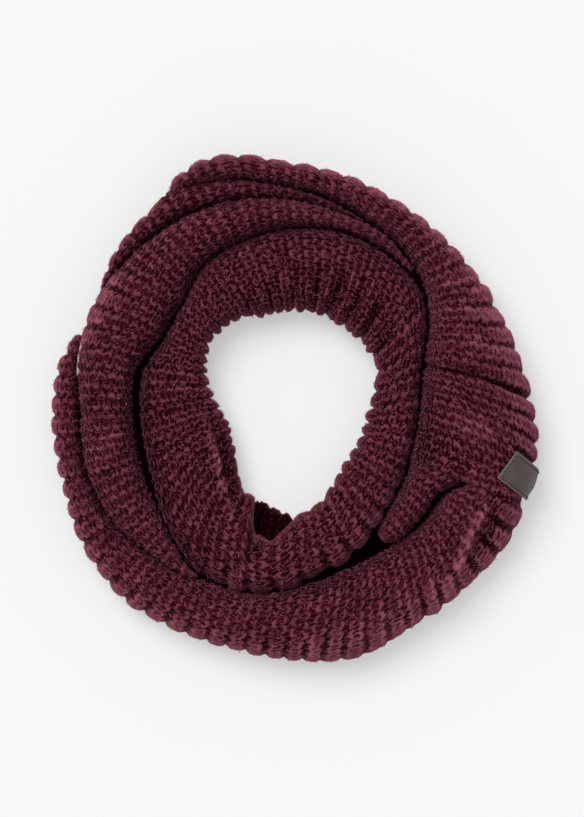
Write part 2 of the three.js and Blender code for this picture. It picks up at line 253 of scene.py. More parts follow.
def make_knit_material():
    material, tree, shader = new_material("knit_yarn")
    link = tree.links.new
    along = node(tree, "ShaderNodeAttribute", attribute_name="along")
    across = node(tree, "ShaderNodeAttribute", attribute_name="across")
    painted_shade = node(tree, "ShaderNodeAttribute", attribute_name="painted_shade")
    tone_and_highlight = node(tree, "ShaderNodeAttribute", attribute_name="tone_and_highlight")
    cloth = node(tree, "ShaderNodeCombineXYZ")
    link(along.outputs["Fac"], cloth.inputs["X"])
    link(across.outputs["Fac"], cloth.inputs["Y"])
    fibre_scale = node(tree, "ShaderNodeMapping")
    fibre_scale.inputs["Scale"].default_value = FIBRES_PER_MM
    link(cloth.outputs[0], fibre_scale.inputs["Vector"])
    fibre = node(tree, "ShaderNodeTexNoise")
    fibre.inputs["Scale"].default_value = 1.0
    fibre.inputs["Detail"].default_value = 3
    fibre.inputs["Roughness"].default_value = 0.7
    link(fibre_scale.outputs[0], fibre.inputs["Vector"])
    fibres_toned_and_lit = node(tree, "ShaderNodeMath", operation="MULTIPLY_ADD")
    link(tone_and_highlight.outputs["Fac"], fibres_toned_and_lit.inputs[0])
    fibres_toned_and_lit.inputs[1].default_value = TONE_AND_HIGHLIGHT_SPREAD
    link(fibre.outputs["Fac"], fibres_toned_and_lit.inputs[2])
    melange = node(tree, "ShaderNodeValToRGB")
    melange.color_ramp.elements[0].position = WINE_DARK_AT
    melange.color_ramp.elements[0].color = WINE_DARK
    melange.color_ramp.elements[1].position = WINE_LIGHT_AT
    melange.color_ramp.elements[1].color = WINE_LIGHT
    middle = melange.color_ramp.elements.new(WINE_MID_AT)
    middle.color = WINE_MID
    link(fibres_toned_and_lit.outputs[0], melange.inputs["Fac"])
    # Painted shade: the colour goes towards near black where the painted shade is strong
    shade_amount = node(tree, "ShaderNodeMapRange", interpolation_type="SMOOTHSTEP")
    shade_amount.inputs["From Min"].default_value = 0.12
    shade_amount.inputs["From Max"].default_value = 0.75
    link(painted_shade.outputs["Fac"], shade_amount.inputs["Value"])
    shade_mix = node(tree, "ShaderNodeMix", data_type="RGBA")
    link(shade_amount.outputs["Result"], shade_mix.inputs["Factor"])
    link(melange.outputs["Color"], shade_mix.inputs["A"])
    shade_mix.inputs["B"].default_value = PAINTED_SHADE_COLOUR
    link(shade_mix.outputs["Result"], shader.inputs["Base Color"])
    nap = node(tree, "ShaderNodeTexNoise")
    nap.inputs["Scale"].default_value = NAP_PER_MM
    nap.inputs["Detail"].default_value = 4
    link(cloth.outputs[0], nap.inputs["Vector"])
    bump = node(tree, "ShaderNodeBump")
    bump.inputs["Strength"].default_value = 0.6
    bump.inputs["Distance"].default_value = 0.0006
    link(nap.outputs["Fac"], bump.inputs["Height"])
    link(bump.outputs["Normal"], shader.inputs["Normal"])
    shader.inputs["Roughness"].default_value = 0.9
    shader.inputs["IOR"].default_value = 1.1
    shader.inputs["Specular IOR Level"].default_value = 0.3
    shader.inputs["Sheen Weight"].default_value = 0.45
    shader.inputs["Sheen Roughness"].default_value = 0.3
    shader.inputs["Sheen Tint"].default_value = SHEEN_COLOUR
    return material


knit_material = make_knit_material()

RING_ROUND = 600
RING_CLOTH = 90
RING_INSET = 12
RING_STEP_ALONG = 2.1
RING_STEP_ACROSS = 1.3
RING_ROUNDNESS = 0.55
RING_STITCH_LIFT = 1.2
RING_KNOB_LIFT = 2.2
RING_UNDERSIDE_COLUMNS = 25
# In the tuck it comes almost to the edge of the hole. Shade is painted over the whole ring, and more of it
# away from the tuck than in it. Under the upper fold it reaches further out. The pairs are where each of
# these fades, in degrees from its middle.
TUCK_INSET = 1.5
TUCK_GENTLE_SIDE = 0.6
TUCK_OPEN = (7, 11)
TUCK_SHADE_FADE = (11, 16)
RING_SHADE = 0.55
FOLD_AT = 130
FOLD_REACH = 9
FOLD_FADES = (22, 32)
ring_height = between([
    (0, 10), (60, 12), (150, 12), (210, 10), (245, 8), (257, 9), (269, 6), (290, 3), (320, 3), (340, 6)],
    closed=True)


def hidden_ring():
    coarser = 1
    angles = np.linspace(0, 360, int(RING_ROUND / RING_STEP_ALONG / coarser) + 1)
    count = int(RING_CLOTH / RING_STEP_ACROSS / coarser)
    bend = np.linspace(0, math.pi, count + 1)
    turned, angle = np.meshgrid(bend, angles)
    past = past_tuck(angle)
    away = np.where(past > 0, TUCK_GENTLE_SIDE, 1.0) * np.abs(past)
    first = hole_edge(angle) + RING_INSET - (RING_INSET - TUCK_INSET) * (1 - smooth(away, *TUCK_OPEN))
    last = outline(angle) - RING_INSET + FOLD_REACH * (1 - smooth(np.abs(angle - FOLD_AT), *FOLD_FADES))
    half = (last - first) / 2
    rib = np.rint(RING_ROUND / RIB_PITCH) * angle / 360
    across = turned / math.pi * RING_CLOTH / STITCH_WIDTH
    bump, gap_shade, tone_and_highlight = stitches(rib, across)
    lift = RING_STITCH_LIFT * bump + RING_KNOB_LIFT * knobs_at(rib) * np.abs(np.cos(turned)) ** 2
    side = -np.sign(np.cos(turned)) * np.abs(np.cos(turned)) ** RING_ROUNDNESS
    radius = (first + last) / 2 + side * half + side * lift
    height = ring_height(angle) * np.sin(turned) ** RING_ROUNDNESS + np.sin(turned) * lift
    outer = place(angle, radius, height)
    back, angle_in = np.meshgrid(np.linspace(0.02, 0.98, RING_UNDERSIDE_COLUMNS), angles)
    ends = (radius[:, :1], radius[:, -1:])
    under = ends[0] + (ends[1] - ends[0]) * back
    inner = place(angle_in, under, 0.0 * under)
    # Painted shade: dark all over, and darker away from the tuck
    painted_shade = np.clip(gap_shade + RING_SHADE + 0.4 * smooth(away, *TUCK_SHADE_FADE), 0, 1)
    piece = closed_shell("hidden_layers_knit", outer, inner, {
        "painted_shade": painted_shade, "tone_and_highlight": tone_and_highlight, "along": rib * RIB_PITCH, "across": across * STITCH_WIDTH},
        round_trip=True)
    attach(piece, "root")
    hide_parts("hidden_layers")
    piece.data.materials.append(knit_material)


hidden_ring()

# The inner turn
# The smallest of the three turns, round the hole, with deep pleats at the upper right and its two ends in a
# tuck at the lower left, one over the other. Shade is painted into the pleats' troughs and, a little, over
# the whole turn. Like every stretch, it is a shell as thick as the knit, with true stitches outside and a
# plain inner side.
inner_line = between([
    (0, 76), (15, 80), (25, 88), (35, 100), (45, 108), (60, 111), (75, 112), (90, 110), (105, 107),
    (120, 103), (128, 97), (135, 92), (150, 89), (160, 93), (165, 95), (180, 94), (195, 94), (210, 97),
    (225, 104), (240, 113), (255, 112), (270, 106), (280, 98), (290, 94), (300, 88), (310, 83), (320, 79),
    (330, 77), (345, 75)], closed=True)
# Half the width of the dark gap between this turn and the next
inner_gap = between([
    (0, 1), (60, 1), (120, 1.2), (150, 2.5), (165, 3.8), (185, 3.8), (205, 3), (220, 1.2), (240, 1.6),
    (255, 1.6), (275, 1.5), (300, 1.2), (320, 1.2), (335, 1)], closed=True)
KNIT_THICKNESS = 4.5
STEP_ALONG = 0.86
STEP_ACROSS = 0.5
INNER_COLUMNS = 13
# A free side bulges down to this height before it curls under, and its foot stands in by the inset
FREE_LOW = 12
FOOT_INSET = 5
LEAN_STEPS = 8
STITCH_LIFT = 2.0
# Below 1, a section is fuller at its shoulders than an ellipse
SHOULDER = 0.8
MOST_INSET = 0.3
COVERED_FLOOR = 6.0
SECTION_SAMPLES = 145
WIDTH_STRIDE = 8
UNSEEN_STEP = 0.45
# How much of a rib's relief is left on the crest, where a stretch meets the next one, and at a free edge
CREST_RIDGE = 0.09
SEAM_RIDGE = 0.35
EDGE_RIDGE = 0.85
DRIFT_LIFT = 1.3
HAIRS_PER_MM2 = 0.39
HAIR_WIDTH = 0.085
HAIR_LENGTHS = (0.7, 2.2)
HAIRS_ABOVE = 3
HAIR_COLOUR = (0.39, 0.088, 0.138, 1)
# For an end that is rounded over its whole width, and runs on into the next stretch nowhere
NOWHERE = 999


def steady(value):
    return lambda angle: value + 0.0 * np.asarray(angle, float)


def tucked_hole_edge(angle):
    past = past_tuck(angle)
    fade = np.where(past > 0, TUCK["gentle_fade"], TUCK["steep_fade"])
    bump = 1 - smooth(np.abs(past), TUCK["half_width"], TUCK["half_width"] + fade)
    return hole_edge(angle) + TUCK["depth"] * bump


def inner_line_in(angle):
    return inner_line(angle) - inner_gap(angle)


def section(stretch, run, q, into=0.0):
    """Angle, radius, height and outward direction at q: 0 to 1 goes over the crest, and past both ends it
    curls under to the floor. into is how far inside the cloth's face the point lies."""
    crest = stretch["crest"](run)
    inward = q < crest
    share = np.clip(np.where(inward, q / crest, (1 - q) / (1 - crest)), 0, 1)
    swing = share * math.pi / 2
    free = np.where(inward, stretch["inner_free"](run), stretch["outer_free"](run))
    low = stretch["groove"] + (FREE_LOW - stretch["groove"]) * free
    angle = run + 0.0 * q
    for _ in range(LEAN_STEPS):
        first, last = stretch["inner"](angle), stretch["outer"](angle)
        width = last - first
        inset = np.minimum(into, MOST_INSET * width)
        first, last = first + inset, last - inset
        top = first + (last - first) * crest
        arm = np.where(inward, top - first, last - top)
        side = np.where(inward, -1.0, 1.0)
        radius = top + side * arm * np.cos(swing) ** SHOULDER
        angle = run + stretch["lean"](run) * (radius - stretch["lean_radius"])
    height = low + (stretch["height"](run) - np.minimum(into, inset) - low) * np.sin(swing) ** SHOULDER
    under = np.clip(np.maximum(-q, q - 1), 0, 1)
    curl = under * math.pi / 2
    foot = np.minimum(FOOT_INSET, MOST_INSET * width)
    radius = radius - side * foot * free * (1 - np.cos(curl))
    floor = np.where(free > 0.5, 0.0, COVERED_FLOOR)
    height = np.where(under > 0, low + (floor - low) * np.sin(curl), height)
    out_r = np.where(under > 0, side * np.cos(curl), side * np.cos(swing))
    out_z = np.where(under > 0, -np.sin(curl) * free, np.sin(swing))
    return angle, radius, height, out_r, out_z


def even_steps(stretch, runs, count):
    """Places q across each section with equal steps of cloth between them, wider where it curls under, their
    distance from the crest, and the widest and mean width."""
    q = np.linspace(-1, 2, SECTION_SAMPLES)
    across, along = np.meshgrid(q, runs)
    angle, radius, height, _, _ = section(stretch, along, across)
    steps = np.linalg.norm(np.diff(place(angle, radius, height), axis=1), axis=2)
    length = np.concatenate([np.zeros((len(runs), 1)), np.cumsum(steps, axis=1)], axis=1)
    seldom_seen = np.where((q[:-1] < -0.2) | (q[:-1] >= 1.2), UNSEEN_STEP, 1.0)
    weighed = np.concatenate([np.zeros((len(runs), 1)), np.cumsum(steps * seldom_seen, axis=1)], axis=1)
    spread = np.linspace(0, 1, count + 1)
    at = np.stack([np.interp(spread, row / row[-1], q) for row in weighed])
    crest = stretch["crest"](runs)
    from_crest = np.stack([
        np.interp(places, q, row) - np.interp(top, q, row)
        for places, row, top in zip(at, length, crest)])
    return at, from_crest, float(weighed[:, -1].max()), float(length[:, -1].mean())


def crease_lift(angle, radius, creases):
    """The height that the listed creases add at a place: each is a line of (angle, radius), with its height
    in the middle (below 0 for a trough) and its half width."""
    here = place(angle, radius, 0.0 * radius)[..., :2]
    lift = np.zeros(here.shape[:-1])
    for line, height, half_width in creases:
        points = place(*np.array(line, float).T, np.zeros(len(line)))[:, :2]
        nearest = np.full(lift.shape, 1e9)
        fade = np.ones(lift.shape)
        for k, (first, last) in enumerate(zip(points[:-1], points[1:])):
            run = last - first
            share = np.clip(((here - first) @ run) / (run @ run), 0, 1)
            distance = np.linalg.norm(here - first - share[..., None] * run, axis=-1)
            closer = distance < nearest
            nearest = np.where(closer, distance, nearest)
            place_along = (k + share) / (len(points) - 1)
            fade = np.where(closer, np.sin(math.pi * np.clip(place_along, 0.08, 0.92)) ** 0.6, fade)
        lift += height * fade * np.exp(-((nearest / half_width) ** 2))
    return lift


def round_ends(stretch, run, radius, height):
    """Sinks and narrows the rounded ends of a stretch. Each end is (rounding in millimetres, the share it
    sinks by, the share it narrows by, and the radius outside which it runs on into the next stretch)."""
    for at, end in ((stretch["from"], stretch.get("start_round")), (stretch["to"], stretch.get("end_round"))):
        if end:
            rounding, depth, narrowing, runs_on = end
            near = np.clip(np.radians(np.abs(run - at)) * radius / rounding, 0, 1)
            drop = 1 - np.sqrt(1 - (1 - near) ** 2)
            height = height * (1 - depth * drop * (1 - smooth(radius, runs_on - 5, runs_on)))
            middle = (stretch["inner"](run) + stretch["outer"](run)) / 2
            radius = middle + (radius - middle) * (1 - narrowing * drop)
    return radius, height


def make_hair_material():
    material, _, shader = new_material("yarn_hair")
    shader.inputs["Base Color"].default_value = HAIR_COLOUR
    shader.inputs["Roughness"].default_value = 0.8
    shader.inputs["Specular IOR Level"].default_value = 0.1
    return material


hair_material = make_hair_material()


def add_hairs(name, outer, count):
    """Short fine hairs that stand out of the yarn at chance places, each one a thin bent blade."""
    normals = np.cross(np.gradient(outer, axis=0), np.gradient(outer, axis=1)).reshape(-1, 3)
    normals /= np.maximum(np.linalg.norm(normals, axis=1, keepdims=True), 1e-9)
    if normals[:, 2].mean() < 0:
        normals = -normals
    points = outer.reshape(-1, 3)
    some = chance.permutation(len(points))[:count]
    some = some[points[some, 2] > HAIRS_ABOVE]
    points, normals = points[some], normals[some]
    lengths = chance.uniform(*HAIR_LENGTHS, len(some))
    tangents = chance.normal(size=points.shape)
    tangents -= (tangents * normals).sum(axis=1, keepdims=True) * normals
    tangents /= np.linalg.norm(tangents, axis=1, keepdims=True)
    sideways = np.cross(normals, tangents)
    rise = chance.uniform(0.1, 0.8, (len(points), 1))
    middle = points + lengths[:, None] * (0.5 * tangents + 0.45 * rise * normals)
    tip = points + lengths[:, None] * (0.95 * tangents + 0.5 * rise * normals + 0.25 * sideways)
    first = points - HAIR_WIDTH / 2 * sideways
    second = points + HAIR_WIDTH / 2 * sideways
    bm = bmesh.new()
    for corners in zip(first * MM, second * MM, middle * MM, tip * MM):
        a, b, c, d = (bm.verts.new(corner) for corner in corners)
        bm.faces.new((a, b, c))
        bm.faces.new((b, d, c))
    mesh = bpy.data.meshes.new(name)
    bm.to_mesh(mesh)
    bm.free()
    piece = as_piece(name, mesh)
    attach(piece, "root")
    piece.data.materials.append(hair_material)


def knit_skin(stretch, run, q, from_crest):
    """The outer side of a stretch with its true stitches, and the fields that the yarn's material reads, the
    painted shade and the tone with its painted highlights among them.
    """
    angle, radius, height, out_r, out_z = section(stretch, run, q)
    rows = sorted(stretch["ribs"])
    rib = np.interp(run, [row[0] for row in rows], [row[1] for row in rows])
    across = from_crest / STITCH_WIDTH
    across = across + 0.4 * wander(0.5 * rib, 0.3 * across, stretch["seed"] + 4)
    uneven = rib + 0.14 * wander(0.9 * rib, 0.8 * across, stretch["seed"])
    bump, gap_shade, tone_and_highlight = stitches(uneven, across)
    # How far up a place is from its edge to the crest, and how far it curls under. A side is free (1) where
    # it ends in an edge of knobs, and not (0) where it meets the next stretch.
    crest = stretch["crest"](run)
    inward = q < crest
    up = np.clip(np.where(inward, q / crest, (1 - q) / (1 - crest)), 0, 1)
    under = np.clip(np.maximum(-q, q - 1), 0, 1)
    free = np.where(inward, stretch["inner_free"](run), stretch["outer_free"](run))
    towards = np.where(inward, smooth(1 - up, 0.1, 0.75), smooth(1 - up, 0.05, 0.6))
    relief = np.where(inward, stretch["inner_relief"](run), stretch["outer_relief"](run))
    swell = 0.5 - 0.5 * np.cos(2 * math.pi * uneven)
    wave = swell + (knobs_at(uneven) - swell) * towards**2 * free
    seamwards = smooth(1 - up, 0.1, 0.5) * (0.3 + 0.7 * np.sin(up * math.pi / 2) ** 2) * SEAM_RIDGE
    ridge = (CREST_RIDGE + seamwards + (EDGE_RIDGE * towards - seamwards) * free) * (1 - 0.8 * under)
    ridge = ridge * (0.75 + 0.5 * luck_at(np.floor(uneven), 0 * uneven)[..., 2])
    lift = relief * ridge * (wave - 0.1) + STITCH_LIFT * (bump - 0.55) * (1 - 0.72 * towards * free)
    drift = wander(0.35 * rib, 0.4 * across, stretch["seed"] + 9)
    lift = lift + DRIFT_LIFT * drift * (1 - under) * (1 - 0.5 * free)
    creased = crease_lift(angle, radius, stretch.get("creases", []))
    lift = lift + creased
    outer = place(angle, *round_ends(stretch, run, radius + out_r * lift, height + out_z * lift))
    # Painted shade: darker between the stitches, between the ribs, down in the grooves, in the troughs of
    # creases and over a whole stretch by its shade, and a little lighter on the ridges of creases.
    groove_shade = (1 - 0.75 * smooth(up, 0, 0.6) - 0.25 * smooth(up, 0.4, 0.95)) * (1 - free)
    painted_shade = gap_shade * (1 - 0.1 * towards * free) + 0.5 * (1 - wave) * ridge + stretch.get("shade", 0)
    painted_shade = painted_shade + 0.75 * groove_shade + 0.11 * np.clip(-creased, 0, 5) - 0.05 * creased.clip(0, 4)
    # Painted highlight: the outer flanks of the knobs along a free edge and the ridges of creases are made
    # lighter
    lit_flank = towards * free * smooth(wave, 0.3, 1) * (1 - under) * (q > crest) * smooth(up, 0.0, 0.3)
    tone_and_highlight = tone_and_highlight + 0.75 * lit_flank + 0.2 * creased.clip(0, 4)
    return outer, {
        "painted_shade": np.clip(painted_shade, 0, 1), "tone_and_highlight": tone_and_highlight, "along": rib * RIB_PITCH, "across": from_crest}


def knit_stretch(name, stretch, nodes):
    """The shell of one stretch with its true stitches, which rides on the ring and stands for its nodes.
    A stretch runs from one angle to another, and counts its ribs at some of them. For each angle it gives the
    radii of its inner and outer edge, its height, the share of its width at which the crest lies, and for
    each side how high the ribs stand and whether it is free. A section leans by so many degrees for each
    millimetre from lean_radius, and groove is the height at which it meets the next stretch."""
    start, end = stretch["from"], stretch["to"]
    middle_run = (start + end) / 2
    middle = float(stretch["inner"](middle_run) + stretch["outer"](middle_run)) / 2
    length = math.radians(abs(start - end)) * middle
    coarser = 1 * stretch.get("coarser", 1)
    along = int(length / STEP_ALONG / coarser)
    runs = np.linspace(start, end, along + 1)
    _, _, widest, mean_width = even_steps(stretch, runs[::WIDTH_STRIDE], WIDTH_STRIDE)
    count = int(widest / STEP_ACROSS / coarser)
    q, from_crest, _, _ = even_steps(stretch, runs, count)
    run = np.repeat(runs[:, None], count + 1, axis=1)
    outer, fields = knit_skin(stretch, run, q, from_crest)
    across_in, along_in = np.meshgrid(np.linspace(-1, 2, INNER_COLUMNS), runs)
    angle, radius, height, _, _ = section(stretch, along_in, across_in, into=KNIT_THICKNESS)
    inner = place(angle, *round_ends(stretch, along_in, radius, height))
    piece = closed_shell(name + "_knit", outer, inner, fields)
    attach(piece, "root")
    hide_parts(*nodes)
    piece.data.materials.append(knit_material)
    add_hairs(name + "_hairs", outer, int(length * mean_width * HAIRS_PER_MM2 / coarser))


knit_stretch("inner_turn", {
    "from": 260, "to": -103, "ribs": [(260, 0), (160, 12), (38, 33), (-103, 46.36)], "seed": 1.0,
    # The inner turn gets a little painted shade all over, as it lies lowest among the turns
    "coarser": 1.23, "shade": 0.1,
    "inner_relief": between([
        (-103, 1), (-90, 1.4), (-70, 2), (-50, 3.7), (-30, 3.9), (-10, 3.2), (10, 4.2), (30, 2.6), (50, 2.6),
        (70, 1.6), (90, 2.6), (110, 2.4), (130, 3.4), (150, 3), (170, 3.6), (190, 2.2), (210, 1.7),
        (230, 2.4), (250, 1.7), (260, 1.4)]),
    "outer_relief": between([(-103, 3.4), (-40, 3), (-20, 1.8), (200, 1.8), (236, 3), (260, 3.4)]),
    "inner_free": steady(1),
    "outer_free": between([(-103, 0.9), (-38, 0.9), (-22, 0), (232, 0), (244, 0.9), (260, 0.9)]),
    "inner": tucked_hole_edge, "outer": inner_line_in, "groove": 14, "lean_radius": 80,
    "start_round": (5, 0.2, 0, 90), "end_round": (9, 0.2, 0, 88),
    "creases": [
        ([(261, 78), (254, 86), (250, 95)], -2.2, 2.2),
        ([(226, 105), (240, 112), (255, 110), (270, 104), (281, 96)], -1.6, 3),
        ([(114, 65), (107, 81)], -1.8, 2.2), ([(103.5, 63), (98, 80)], -2.4, 2.4),
        ([(89.5, 61), (88, 84)], -2.4, 2.4), ([(80.5, 62), (79, 88)], -3.2, 2.4),
        ([(70, 59), (69.5, 87)], -4.3, 2.6), ([(58, 57), (61, 88)], -4.3, 2.6),
        ([(45.5, 59), (52, 86)], -4, 2.6), ([(33, 58), (40, 78)], -2.6, 2.4),
        ([(188, 46), (199, 84)], -1.7, 3.4), ([(204, 40), (208.5, 77)], -1.5, 3.2),
        ([(223, 43), (220.5, 76)], -1.8, 3.4), ([(238, 51), (231, 79)], -1.6, 3.2),
        ([(172, 47), (176, 66), (184, 84)], -1.2, 3.4),
        ([(182, 55), (192, 52), (203, 52), (214, 54), (225, 60), (236, 68), (245, 76)], 3.2, 2.6),
        ([(182, 49), (192, 45.5), (203, 45.5), (214, 48), (225, 53.5), (236, 61), (244, 69)], -2.8, 3)],
    "height": between([
        (-103, 33), (-60, 35), (-15, 32), (15, 33), (38, 38), (75, 40), (110, 39), (160, 35), (190, 33),
        (225, 33), (255, 33.4), (260, 31.5)]),
    "crest": between([
        (-103, 0.55), (0, 0.6), (38, 0.7), (100, 0.75), (160, 0.62), (210, 0.66), (257, 0.5)]),
    "lean": between([(-103, 0.1), (130, 0.1), (180, 0.2), (225, 0.26), (260, 0.1)])},
    ["inner_turn_left", "inner_turn_top", "inner_turn_right"])

# The middle turn
# It rises beside the inner turn at the lower left, lies over the outer turn on the left side, and dives
# under the outer turn at the upper right.
middle_line = between([
    (50, 113), (60, 118.5), (65, 120.5), (75, 122), (90, 127), (105, 132), (120, 134.5), (150, 135.5),
    (165, 133), (180, 128), (195, 129), (210, 127), (225, 120), (240, 117)])
middle_gap = between([
    (50, 0.5), (70, 0.6), (90, 0.8), (120, 0.8), (150, 0.8), (165, 1.5), (200, 1.5), (230, 1.3)])


def inner_line_out(angle):
    return inner_line(angle) + inner_gap(angle)


def middle_line_in(angle):
    return middle_line(angle) - middle_gap(angle)


knit_stretch("middle_turn", {
    "from": 240, "to": 50, "ribs": [(240, 0), (50, 31.7)], "seed": 4.0, "coarser": 1.06,
    "inner_relief": steady(2.2), "outer_relief": steady(1.5), "inner_free": steady(0),
    "outer_free": between([(138, 0), (144, 1), (161, 1), (167, 0)]),
    "inner": inner_line_out, "outer": middle_line_in, "groove": 16, "lean_radius": 115,
    "start_round": (14, 0.3, 0, NOWHERE), "end_round": (8, 0.2, 0, NOWHERE),
    "creases": [
        ([(158, 126), (146, 130), (134, 131), (122, 130), (110, 128)], 1.8, 2.2),
        ([(172, 104), (177, 117), (181, 126)], -1.6, 3.6), ([(196, 104), (200, 116), (203, 126)], -1.5, 3.6),
        ([(186, 100), (190, 112), (193, 124)], 1.2, 4), ([(131, 103), (134, 114), (139, 126)], -1.2, 4)],
    "height": between([
        (50, 33), (65, 39), (90, 44), (120, 46), (180, 46), (210, 43), (225, 38), (240, 31)]),
    "crest": between([(50, 0.5), (120, 0.5), (180, 0.45), (240, 0.5)]),
    "lean": steady(0.05)}, ["middle_turn"])

# The upper fold
# A lower fold of the outer turn that shows between it and the middle turn, and as thin layered strips along
# the outline at the upper left.
over_line = between([
    (-56, 87), (-50, 84), (-40, 80), (-30, 78), (-15, 75), (0, 76), (15, 80), (25, 88), (35, 100), (45, 110),
    (60, 119), (70, 123), (82, 130), (90, 134), (98, 139), (103, 143), (112, 147), (119, 150)])
over_gap = between([
    (-56, 1.2), (-45, 1.5), (-30, 1.5), (0, 1), (45, 1), (60, 1.2), (90, 1.2), (112, 0.6), (119, 0.3)])
knit_stretch("upper_fold", {
    "from": 148, "to": 70, "ribs": [(148, 0), (70, 14)], "seed": 5.0,
    "inner_relief": steady(1.6), "outer_relief": steady(2), "inner_free": steady(0),
    "outer_free": between([(119.5, 0), (124, 1)]),
    "inner": lambda angle: middle_line(angle) + middle_gap(angle),
    "outer": lambda angle: np.minimum(over_line(angle) - over_gap(angle), outline(angle)),
    "groove": 14, "lean_radius": 135, "start_round": (16, 0.8, 0, NOWHERE),
    "height": between([(70, 30), (90, 34), (120, 34), (148, 24)]),
    "crest": steady(0.55), "lean": steady(0)}, ["upper_fold"])

# The outer turn
# The widest turn. It comes out from under the middle turn at the top, spreads on the right, and splits at
# the lower right, where its inner half dives into a pocket under the lower stretch.
tip_line = between([(-57, 93), (-54, 98), (-50, 100.5), (-36, 100.6), (-31, 100), (-26, 105), (-22, 112)])
hood_line = between([
    (-125, 118), (-110, 114), (-100, 112), (-90, 108), (-80, 105.5), (-70, 102), (-60, 102), (-50, 103),
    (-40, 105), (-30, 105.5), (-26, 108.5), (-22, 115)])
HOOD_LIP = 1.5
HOOD_ENDS = -122
LOWER_GAP = 0.5
# The label presses the ribs down under it
LABEL_PRESS = ([(-11, 132), (-15.5, 143), (-18, 154)], -3, 10.5)


def over_or_inner(angle):
    return np.maximum(over_line(angle), inner_line(angle)) + over_gap(angle)


def lower_inner(angle):
    hooded = np.maximum(hood_line(angle) - HOOD_LIP, inner_line_out(angle))
    return np.where(angle > HOOD_ENDS, hooded, middle_line(np.mod(angle, 360)) + LOWER_GAP)


OUTER = {
    "from": 119, "to": -22, "ribs": [(119, 0), (10, 19), (-22, 25)], "seed": 6.0, "coarser": 1.07,
    "inner_relief": steady(2), "inner_free": steady(0), "outer_free": steady(1),
    "outer_relief": between([(-22, 2), (5, 3.1), (25, 2.9), (50, 2), (70, 2), (90, 2.7), (119, 2.6)]),
    "inner": over_or_inner, "outer": outline, "groove": 14, "lean_radius": 115,
    "start_round": (11, 0.8, 0, NOWHERE), "end_round": (6, 0.14, 0, 117),
    "creases": [
        ([(19, 84), (11.7, 109), (7.4, 126), (3, 141)], -5.5, 2),
        ([(33, 112), (28, 124), (21, 137)], 2.4, 3),
        ([(42, 116), (37, 127), (31, 138)], 2.2, 3),
        ([(25, 108), (19, 120), (14, 137)], 1.8, 3),
        ([(-2, 95), (-6, 112), (-9, 128)], 2, 5),
        ([(-12, 90), (-16, 101), (-18, 112)], -2, 4),
        LABEL_PRESS,
        ([(-31, 98), (-26, 105), (-21, 116)], 3, 3)],
    "height": between([
        (-22, 50), (-5, 52), (10, 52), (45, 50), (80, 47), (100, 45), (112, 42), (116, 38), (119, 28)]),
    "crest": between([(-22, 0.55), (10, 0.42), (60, 0.45), (119, 0.5)]),
    "lean": between([(-22, 0), (-10, -0.15), (10, -0.25), (30, -0.25), (70, -0.05), (119, 0)])}
knit_stretch("outer_turn", OUTER, ["outer_turn_upper", "outer_turn_right"])
knit_stretch("tucked_end", {
    "from": -22, "to": -55, "ribs": [(-22, 0), (-55, 5)], "seed": 8.0,
    "inner_relief": steady(2), "outer_relief": steady(2), "inner_free": steady(0), "outer_free": steady(0),
    "inner": over_or_inner, "outer": tip_line, "groove": 12, "lean_radius": 90,
    "end_round": (9, 0.6, 0.6, NOWHERE),
    "height": between([(-55, 31), (-46, 37), (-35, 42), (-22, 48)]),
    "crest": steady(0.5), "lean": steady(0)}, ["tucked_end"])
knit_stretch("outer_turn_lower", {
    "from": -22, "to": -200, "ribs": [(-22, 0), (-200, 34)], "seed": 9.0, "coarser": 1.1,
    "inner_relief": steady(2), "inner_free": steady(0), "outer_free": steady(1),
    "outer_relief": between([
        (-200, 3.2), (-170, 3.3), (-150, 2.9), (-130, 3.1), (-110, 2.6), (-90, 1.9), (-70, 1.6), (-50, 2),
        (-35, 1.4), (-22, 1.7)]),
    "inner": lower_inner, "outer": outline, "groove": 12, "lean_radius": 125,
    "end_round": (24, 0.9, 0, NOWHERE),
    "creases": [
        ([(-20, 118), (-27, 128), (-34, 127), (-40, 131.5), (-47, 137), (-50, 140)], 3.6, 3),
        ([(-22, 127), (-28, 136), (-36, 138), (-43, 143)], -2.6, 6),
        LABEL_PRESS,
        ([(-134, 105), (-120, 112), (-105, 110), (-90, 104), (-79, 96)], -1.6, 3),
        ([(-50, 124), (-52, 134), (-54, 146)], 2, 3), ([(-57, 122), (-60, 136), (-62, 148)], 2.4, 3),
        ([(-64, 124), (-66, 136), (-68, 148)], 2.4, 3), ([(-71, 124), (-72, 136), (-73, 147)], 2, 3),
        ([(-78, 124), (-78, 135), (-78, 146)], 2, 3), ([(-86, 128), (-85, 138), (-84, 147)], 1.8, 3)],
    "height": between([
        (-200, 21), (-195, 26), (-180, 29), (-150, 33), (-120, 38), (-90, 42), (-50, 44), (-30, 47),
        (-22, 50)]),
    "crest": between([(-200, 0.4), (-120, 0.4), (-60, 0.36), (-40, 0.24), (-30, 0.18), (-22, 0.05)]),
    "lean": between([(-110, 0), (-70, -0.18), (-45, -0.18), (-22, 0)])}, ["outer_turn_lower"])

# The label
# Imitation leather in dark brown-grey, sewn round its edge and folded over the outline of the outer turn. It
# lies aslant, clear of the ribs.
LABEL = {"corner": (-9.9, 134.5), "heading": -36.4, "width": 19.5, "clear": 2.7, "thickness": 1.2}
LABEL_COLUMNS = 30
LABEL_ROWS = 48
LABEL_BACK_STRIDE = 6
SEARCH_STEPS = 12
# The rim is paler, this wide along the sides and a small share of the length at the ends, and the leather
# between is puffed up a little
RIM_WIDTH = 0.9
ENDS_TO_RIM = 35
PUFF = 0.35
